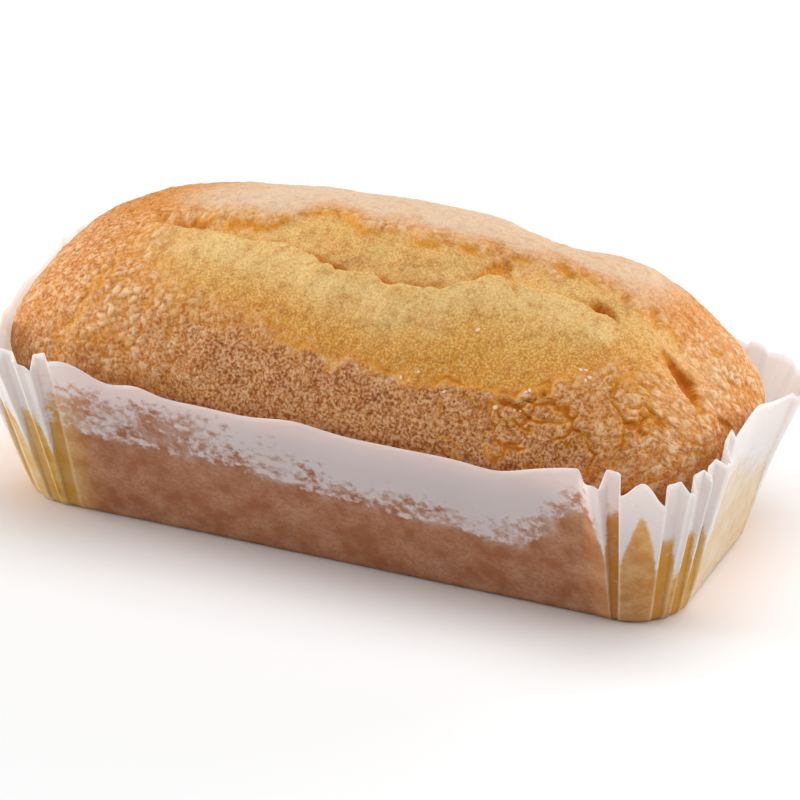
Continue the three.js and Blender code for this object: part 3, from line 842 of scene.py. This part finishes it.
def pleat_shape(along, width, tips, reach, first):
    """How far out a place on a panel lies, how much higher its edge is, how white it stays, whether it is in
    a valley and whether it is on a crease. Along runs from the middle of the panel's first valley. The first
    panel of a corner bends out of the plain side, with no valley before it."""
    wide = smooth(width, NARROW_PANEL, WIDE_PANEL)
    start = -lerp(PANEL_SLOPE_DROP, NOTCH_DROP, max(wide, first))
    half_way = lerp(-PANEL_MIDDLE_DROP, WIDE_HUMP, wide) - FIRST_PANEL_DROP * first
    near = width - along if first else min(along, width - along)
    out = smooth(near, VALLEY_HALF_WIDTH, VALLEY_EDGE)
    if along < width / 2:
        lift = lerp(start, half_way, smooth(along, VALLEY_EDGE, width / 2))
        lift *= smooth(along, 0, VALLEY_EDGE) if first else 1
    else:
        lift = lerp(half_way, -NOTCH_DROP, smooth(along, width / 2, width - VALLEY_EDGE))
    fold = out * (1 - PANEL_SAG * smooth(near, VALLEY_EDGE, width / 2))
    fold *= smooth(along, 0, width / 2) if first else 1
    from_tip = min(abs(along - tip * width) for tip in tips)
    white = out * max(1 - from_tip / reach, 0)
    return fold, lerp(TAB_RISE, lift, out), white, 1 - out, bell(near - VALLEY_EDGE, CREASE_WIDTH)


def side_start(walked):
    """The same on a plain side, walked mm after the last valley's middle: its edge stands out a little."""
    out = smooth(walked, VALLEY_HALF_WIDTH, VALLEY_EDGE)
    fold = out * START_FOLD * smooth(walked, START_REACH, VALLEY_EDGE)
    lift = lerp(TAB_RISE, -START_DROP * smooth(walked, START_REACH / 2, VALLEY_EDGE), out)
    return fold, lift, 0, 1 - out, bell(walked - VALLEY_EDGE, CREASE_WIDTH)


print("edge of a valley in mm:", VALLEY_EDGE)

# %% Places along the edge
PLAIN_STEP = 0.9
PLEAT_STEP = 0.2
FINE_START = 2


def paper_stations():
    """Places along the edge: side, on a corner or not, share of it, fold, lift, white, valley and crease."""
    arc = QUARTER * RIM_RADIUS
    straight = [RIM_LENGTH - 2 * RIM_RADIUS, RIM_WIDTH - 2 * RIM_RADIUS]
    after = [sum(width for width, tips in pleat["panels"]) - pleat["before"] - arc for pleat in PLEATS]
    stations = []
    for side, pleat in enumerate(PLEATS):
        own = straight[side % 2]
        stretch = own - after[side - 1] - pleat["before"]
        walked = 0
        while walked < stretch - PLAIN_STEP / 2:
            shape = [PLEATS[side - 1]["strength"] * value for value in side_start(walked)]
            stations.append((side, False, (after[side - 1] + walked) / own, *shape))
            walked += PLEAT_STEP if walked < FINE_START else PLAIN_STEP
        reached = -pleat["before"]
        for number, (width, tips) in enumerate(pleat["panels"]):
            steps = round(width / PLEAT_STEP)
            for i in range(steps):
                along = width * i / steps
                shape = pleat_shape(along, width, tips, pleat["reach"], number == 0)
                shape = [pleat["strength"] * value for value in shape]
                shape[2] *= pleat["drop"] / pleat["strength"]
                walked = reached + along
                if walked < 0:
                    stations.append((side, False, 1 + walked / own, *shape))
                elif walked < arc:
                    stations.append((side, True, walked / arc, *shape))
                else:
                    past = (walked - arc) / straight[(side + 1) % 2]
                    stations.append(((side + 1) % 4, False, past, *shape))
            reached += width
    return stations


stations = paper_stations()
print("places along the edge:", len(stations))

# %% Wall of the case
FOLD_AT_BASE = 0.2
FOLD_AT_EDGE = 1.5
BASE_EDGE = 0.35
BASE_EDGE_HEIGHT = 0.9
CROWDING = 0.8
CROWDING_REACH = 5
RIM_WAVES = [(0.2, 9, 51)]
WALL_WAVES = [(0.14, 8, 61)]
WALL_WAVES_HEIGHT = 5


def outline_place(length, width, radius, side, corner, share):
    """A place on a rounded rectangle and its outward direction. Side 0 is the front, 1 the right end."""
    half_x = length / 2 - radius
    half_y = width / 2 - radius
    centres = [(half_x, -half_y), (half_x, half_y), (-half_x, half_y), (-half_x, -half_y)]
    angle = (side - 1) * QUARTER + (share * QUARTER if corner else 0)
    walked = 1 if corner else share
    x, y = [lerp(before, after, walked) for before, after in zip(centres[side - 1], centres[side])]
    nx = math.cos(angle)
    ny = math.sin(angle)
    return x + radius * nx, y + radius * ny, nx, ny


def rim_height(x, y, lift):
    return RIM_HEIGHT + rise_at(EDGE_RISES, x, y) + waves(Vector((x, y, 0)), RIM_WAVES) + lift


def crowded(share, own, lean):
    """Moves a place near a side's ends towards the corners at the base, where the folds stand closer."""
    for end in (0, 1):
        near = bell(abs(share - end) * own, CROWDING_REACH)
        share = lerp(share, end, CROWDING * (1 - min(lean, 1)) * near)
    return share


def paper_place(station, up):
    """A point of the sheet: up is 0 at the base and 1 at the edge."""
    side, corner, share, fold, lift = station[:5]
    x, y, nx, ny = outline_place(RIM_LENGTH, RIM_WIDTH, RIM_RADIUS, side, corner, share)
    flare = rise_at(EDGE_FLARES, x, y)
    z = up * rim_height(x, y, lift)
    lean = z / RIM_HEIGHT
    if not corner:
        own = (RIM_LENGTH if side % 2 == 0 else RIM_WIDTH) - 2 * RIM_RADIUS
        share = crowded(share, own, lean)
    length = lerp(BASE_LENGTH, RIM_LENGTH, lean)
    width = lerp(BASE_WIDTH, RIM_WIDTH, lean)
    radius = lerp(BASE_RADIUS, RIM_RADIUS, lean)
    x, y, nx, ny = outline_place(length, width, radius, side, corner, share)
    out = lerp(FOLD_AT_BASE, FOLD_AT_EDGE, up) * fold + flare * up ** 2
    out -= BASE_EDGE * smooth(z, BASE_EDGE_HEIGHT, 0)
    out += waves(Vector((x, y, z)), WALL_WAVES) * smooth(z, 0, WALL_WAVES_HEIGHT)
    return Vector((x + nx * out, y + ny * out, z))


print("rim at the front's middle:", round(rim_height(0, -RIM_WIDTH / 2, 0), 2))

# %% [markdown]
# ## Where the paper is soaked
# Butter has soaked the lower half of the paper, which then shows the brown cake behind it. The line is
# clear along the front, with loose spots above it, and it climbs at the corners, where the valleys touch
# the cake and the panels' edges stay white. A painted mask could hold this, but a few heights along the
# edge say it in less: each point keeps how much of the paper round it is stained.

# %% Lines of the soaked paper
# The line along the front: x and height in mm
SOAK_LINE = [(-40, 14.5), (-31, 12.9), (-19.4, 12.3), (-13.3, 12.4), (-4, 11.2), (6.4, 10.1), (15.9, 9.7),
             (26.3, 8.6), (29.5, 11.5), (33.5, 16.5), (36.5, 17.5)]
# Heights round the front right corner, on its panels and in its valleys, from the front to the end
PANEL_LINES = (18.3, 14.5)
VALLEY_LINES = (20.5, 13.5)
# The height at the other corners, and across each end from its front corner to its back one
PLEAT_LINE = 15.0
END_LINES = (18.5, 11.5)
# Where each of these starts and is full, in mm along x or y
PANEL_TURN = (-20, -15.5)
VALLEY_TURN = (-20.6, -18.8)
CORNER_FRONT = (-8, -13)
CORNER_RIGHT = (30, 38)
PLEATED_SIDES = (38, 42)
PLEATED_ENDS = (30, 38)
PAST_CORNER = (-12, -8)
FLAT_END = (41, 44)
END_ACROSS = (-8, 12)


def soak_line_at(point, white, valley):
    """The height of the soaked line at a point, and how far the point is on a flat end."""
    panel_line = lerp(*PANEL_LINES, smooth(point.y, *PANEL_TURN))
    valley_line = lerp(*VALLEY_LINES, smooth(point.y, *VALLEY_TURN))
    front_right = smooth(point.y, *CORNER_FRONT) * smooth(point.x, *CORNER_RIGHT)
    pleat_line = lerp(PLEAT_LINE, lerp(panel_line, valley_line, valley), front_right)
    past_corner = smooth(point.y, *PAST_CORNER)
    pleated = max(smooth(abs(point.x), *PLEATED_SIDES), past_corner * smooth(abs(point.x), *PLEATED_ENDS))
    flat_end = smooth(abs(point.x), *FLAT_END) * past_corner
    end_line = lerp(*END_LINES, smooth(point.y, *END_ACROSS))
    line = lerp(path_at(SOAK_LINE, point.x)[0], pleat_line, pleated)
    return lerp(line, end_line, flat_end) - white, flat_end


print("soaked line at the front's middle:", path_at(SOAK_LINE, 0))

# %% Share of stained paper
# The share that is stained, by height over the soaked line in mm
STAIN_COVER = [(-0.9, 1.0), (0, 0.75), (0.6, 0.4), (1.6, 0.5), (4, 0.46), (6, 0.32), (8, 0.16), (9.5, 0)]
# The spotted band is lower on the right half, and its cover is uneven along the front
BAND_LOW = 1.6
BAND_LOW_RIGHT = (-8, 6)
UNEVEN_FROM = (0.3, 1)
UNEVEN_TO = (9.5, 7)
UNEVEN_PATCHES = [(0.25, 6, 71)]
MORE_LEFT = 0.15
MORE_LEFT_RANGE = (-8, -20)
MORE_RIGHT = 0.06
MORE_RIGHT_RANGE = (24, 30)
# At the corners the stain is soft and golden, and the golden share paints the clean paper lighter there
SOFT_RIGHT = (33, 40)
SOFT_LEFT = (-35, -39)
FADE_HEIGHTS = (1.3, 5)
GOLD_RIGHT = 0.5
GOLD_RIGHT_RANGE = (31, 51)
GOLD_LEFT = 0.66
GOLD_LEFT_RANGE = (-29, -41)
GOLD_END = 0.5


def soak_at(point, white, valley):
    """How much of the paper round a point is stained, how gold the stain is, which also paints the paper
    lighter, and how soft the stain is.
    """
    line, flat_end = soak_line_at(point, white, valley)
    above = point.z - line
    if above > 0:
        above *= lerp(1, BAND_LOW, smooth(point.x, *BAND_LOW_RIGHT))
    more = waves(point, UNEVEN_PATCHES) + MORE_LEFT * smooth(point.x, *MORE_LEFT_RANGE)
    more += MORE_RIGHT * smooth(point.x, *MORE_RIGHT_RANGE)
    patchy = path_at(STAIN_COVER, above)[0] + more * smooth(above, *UNEVEN_FROM) * smooth(above, *UNEVEN_TO)
    soft = max(smooth(point.x, *SOFT_RIGHT), smooth(point.x, *SOFT_LEFT))
    fade = lerp(*FADE_HEIGHTS, flat_end)
    cover = lerp(patchy, smooth(above, fade, -fade), soft)
    golden_and_lit = GOLD_RIGHT * smooth(point.x, *GOLD_RIGHT_RANGE) + GOLD_LEFT * smooth(point.x, *GOLD_LEFT_RANGE)
    return min(max(cover, 0), 1), golden_and_lit + GOLD_END * flat_end, soft


front_foot = Vector((0, -BASE_WIDTH / 2, 1))
print("stained share, golden and soft at the front's foot:", soak_at(front_foot, 0, 0))

# %% Paper piece
PAPER_ROWS = 30
ROWS_CROWDED_LOW = 1.15
PAPER_THICKNESS = 0.15
PAPER_LAYERS = ("cover", "golden_and_lit", "soft", "valley", "crease")
SEAM_REACH = 0.0005
FOOT_BELOW = 0.01

paper_mesh = bmesh.new()
bmesh.ops.create_grid(paper_mesh, x_segments=len(stations), y_segments=PAPER_ROWS, size=1)
layers = [paper_mesh.verts.layers.float.new(name) for name in PAPER_LAYERS]
for vert in paper_mesh.verts:
    column = round((vert.co.x + 1) / 2 * len(stations)) % len(stations)
    up = ((vert.co.y + 1) / 2) ** ROWS_CROWDED_LOW
    white, valley, crease = stations[column][5:]
    vert.co = paper_place(stations[column], up)
    for layer, value in zip(layers, (*soak_at(vert.co, white, valley), valley, crease)):
        vert[layer] = value
bmesh.ops.remove_doubles(paper_mesh, verts=paper_mesh.verts, dist=SEAM_REACH)
foot = [edge for edge in paper_mesh.edges if edge.is_boundary and edge.verts[0].co.z < FOOT_BELOW]
bmesh.ops.edgeloop_fill(paper_mesh, edges=foot)
bmesh.ops.recalc_face_normals(paper_mesh, faces=paper_mesh.faces)
bmesh.ops.translate(paper_mesh, vec=(middle.x, middle.y, 0), verts=paper_mesh.verts)
bmesh.ops.scale(paper_mesh, vec=(MM, MM, MM), verts=paper_mesh.verts)
for face in paper_mesh.faces:
    face.smooth = len(face.verts) == 4
paper_data = bpy.data.meshes.new("pleated_paper")
paper_mesh.to_mesh(paper_data)
paper_mesh.free()
paper = bpy.data.objects.new("pleated_paper", paper_data)
thick = paper.modifiers.new("sheet", "SOLIDIFY")
thick.thickness = PAPER_THICKNESS * MM
thick.offset = -1
bpy.context.scene.collection.objects.link(paper)
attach(paper, "root")
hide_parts("paper_case")
print("paper quads:", len(paper_data.polygons))

# %% [markdown]
# ## The paper's finish
# Greaseproof paper is white and a little see-through, and turns brown or golden where it is greasy. An
# image could show that, but noise does it from real sizes: it is cut off at a level that depends on the
# share that is stained, so the spots grow together where that share is large.

# %% Stain patterns
CLOUD_SIZE = 3.0
SPOT_SIZE = 1.25
FIBRE_SIZE = 0.5
# Greaseproof baking paper, pressed and pleated: a soft white sheet that lets some light through, with a low
# sheen, brown and golden where butter has soaked in and the cake shows through.
paper_material, tree = new_material("pleated_baking_paper")
coords = add_node(tree, "ShaderNodeTexCoord", {}, "Object")
cover, golden_and_lit, soft, valley, crease = [
    add_node(tree, "ShaderNodeAttribute", {"attribute_name": name}, "Fac") for name in PAPER_LAYERS
]
# The spots are a little wider than high.
flattened = add_node(tree, "ShaderNodeMapping", {"Vector": coords, "Scale": (1.0, 1.0, 1.2)})
clouds = add_node(tree, "ShaderNodeTexNoise", {
    "Vector": coords, "Scale": 1 / (CLOUD_SIZE * MM), "Detail": 4.0, "Roughness": 0.6})
spots = add_node(tree, "ShaderNodeTexNoise", {
    "Vector": flattened, "Scale": 1 / (SPOT_SIZE * MM), "Detail": 4.0, "Roughness": 0.6})
fibres = add_node(tree, "ShaderNodeTexNoise", {
    "Vector": flattened, "Scale": 1 / (FIBRE_SIZE * MM), "Detail": 2.0})
threshold = add_node(tree, "ShaderNodeMapRange", {"Value": cover, "To Min": 0.82, "To Max": 0.16})
over = add_node(tree, "ShaderNodeMath", {"operation": "SUBTRACT", 0: spots, 1: threshold})
print("paper pattern nodes:", len(tree.nodes))

# %% How far the paper is soaked
# Brown stains have a narrow blurred edge, and golden ones fade out.
fade = add_node(tree, "ShaderNodeMapRange", {"Value": soft, "To Min": 0.12, "To Max": 0.3})
fade_start = add_node(tree, "ShaderNodeMapRange", {"Value": soft, "To Min": -0.14, "To Max": -0.3})
fullest = add_node(tree, "ShaderNodeMapRange", {
    "Value": golden_and_lit, "From Min": 0.5, "To Min": 0.92, "To Max": 0.6})
thinnest = add_node(tree, "ShaderNodeMapRange", {
    "Value": cover, "From Min": 0.5, "To Min": 0.6, "To Max": fullest})
thin = add_node(tree, "ShaderNodeMapRange", {
    "Value": clouds, "From Min": 0.35, "From Max": 0.6, "To Min": thinnest, "To Max": 1.0})
soaked = add_node(tree, "ShaderNodeMapRange", {
    "interpolation_type": "SMOOTHSTEP", "Value": over, "From Min": fade_start, "From Max": fade,
    "To Max": thin})
to_gold_and_lit = add_node(tree, "ShaderNodeMapRange", {"Value": golden_and_lit, "From Max": 0.5})
# Past half of the golden share the stain turns pale gold: partly its colour, partly painted light.
to_pale_and_lit = add_node(tree, "ShaderNodeMapRange", {"Value": golden_and_lit, "From Min": 0.5})
mottle = add_node(tree, "ShaderNodeMapRange", {"Value": clouds, "From Min": 0.35, "From Max": 0.65})
flecks = add_node(tree, "ShaderNodeMapRange", {
    "Value": fibres, "From Min": 0.45, "From Max": 0.65, "To Max": 0.7})
# The stain is paler along the creases: partly the crease's own paler paper, partly a painted highlight.
crease_pale_and_highlight = add_node(tree, "ShaderNodeMath", {"operation": "MULTIPLY", 0: crease, 1: 0.25})
print("paper nodes with the stains:", len(tree.nodes))

# %% Paper colours
# Each row lays a colour over the ones before it, where its share says.
# Valleys are darker and more orange: partly more soaked where they press on the cake, partly painted shade.
brown = linear("#bd7f56")
for share, code in ((mottle, "#a2623d"), (flecks, "#96603f"), (valley, "#ae620a")):
    brown = add_node(tree, "ShaderNodeMix", {"data_type": "RGBA", 0: share, 6: brown, 7: linear(code)}, 2)
gold = linear("#f0b456")
for share, code in ((mottle, "#dc9434"), (valley, "#dd9a22")):
    gold = add_node(tree, "ShaderNodeMix", {"data_type": "RGBA", 0: share, 6: gold, 7: linear(code)}, 2)
stain = brown
for share, laid in ((to_gold_and_lit, gold), (to_pale_and_lit, linear("#f0c39c")), (crease_pale_and_highlight, linear("#f3e0cc"))):
    stain = add_node(tree, "ShaderNodeMix", {"data_type": "RGBA", 0: share, 6: stain, 7: laid}, 2)
# Painted light and shade: the clean paper is lighter at the corners and ends, greyer on the front.
sheet = linear("#e5cdca")
for share, laid in ((to_gold_and_lit, linear("#f8e9e4")), (soaked, stain)):
    sheet = add_node(tree, "ShaderNodeMix", {"data_type": "RGBA", 0: share, 6: sheet, 7: laid}, 2)
fibre_bump = add_node(tree, "ShaderNodeBump", {"Strength": 0.25, "Distance": 0.05 * MM, "Height": fibres})
baking_paper = add_node(tree, "ShaderNodeBsdfPrincipled", {
    "Base Color": sheet, "Normal": fibre_bump, "Roughness": 0.55, "IOR": 1.45, "Specular IOR Level": 0.35,
    "Subsurface Weight": 0.8, "Subsurface Scale": 1.0 * MM, "Subsurface Radius": (1.0, 0.9, 0.85)})
add_node(tree, "ShaderNodeOutputMaterial", {"Surface": baking_paper})
paper_data.materials.append(paper_material)
print("paper nodes in all:", len(tree.nodes))

# %% [markdown]
# ## Sugar
# A few flakes of white sugar cling to the crust, most of them along the torn front edge. They are tiny
# broken crystals. Instances or particles would suit thousands of them, but for these few each is a small
# flattened ball with few faces, dropped onto the crust from above. All of them are one mesh.

# %% Sugar grains
SUGAR_PLACES = [(12.3, -17.8), (10.3, -18.5), (11.3, -18.5), (16.0, -18.6), (18.0, -13.0), (22.7, -18.8),
                (25.7, -18.3), (25.0, -18.4), (26.0, -17.3), (26.4, -17.1), (31.4, -13.4), (32.0, -13.2),
                (32.7, -13.8), (32.4, -14.3), (5.3, 1.5), (-13, 3.5)]
SUGAR_SIZES = (0.2, 0.36)
SUGAR_LENGTHS = (0.9, 1.3)
SUGAR_WIDTHS = (0.6, 0.9)
SUGAR_FLATNESS = 0.35
SUGAR_SEED = 7
DROP_HEIGHT = 100

dice = random.Random(SUGAR_SEED)
sugar_mesh = bmesh.new()
for x, y in SUGAR_PLACES:
    above_crust = Vector((x + middle.x, y + middle.y, DROP_HEIGHT)) * MM
    hit, normal = cake_tree.ray_cast(above_crust, Vector((0, 0, -1)))[:2]
    size = dice.uniform(*SUGAR_SIZES) * MM
    turn = normal.to_track_quat("Z", "Y").to_matrix().to_4x4()
    shape = Matrix.Diagonal((dice.uniform(*SUGAR_LENGTHS), dice.uniform(*SUGAR_WIDTHS), SUGAR_FLATNESS, 1))
    spin = Matrix.Rotation(dice.uniform(0, math.pi), 4, "Z")
    lying = Matrix.Translation(hit) @ turn @ spin @ shape
    bmesh.ops.create_icosphere(sugar_mesh, subdivisions=1, radius=size, matrix=lying)
sugar_data = bpy.data.meshes.new("sugar_grains")
sugar_mesh.to_mesh(sugar_data)
sugar_mesh.free()
sugar = bpy.data.objects.new("sugar_grains", sugar_data)
bpy.context.scene.collection.objects.link(sugar)
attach(sugar, "root")

# White sugar, broken crystals half melted in the oven: pale and dull, so they only look a little brighter.
sugar_material, tree = new_material("white_sugar_crystals")
crystal = add_node(tree, "ShaderNodeBsdfPrincipled", {
    "Base Color": linear("#ecd0b8"), "Roughness": 0.8, "IOR": 1.4})
add_node(tree, "ShaderNodeOutputMaterial", {"Surface": crystal})
sugar_data.materials.append(sugar_material)
print("sugar grains:", len(SUGAR_PLACES))

# %% [markdown]
# Last, the scene is brought up to date. The dressed cake must be as large as the solid one.

# %% Update the scene
bpy.context.view_layer.update()
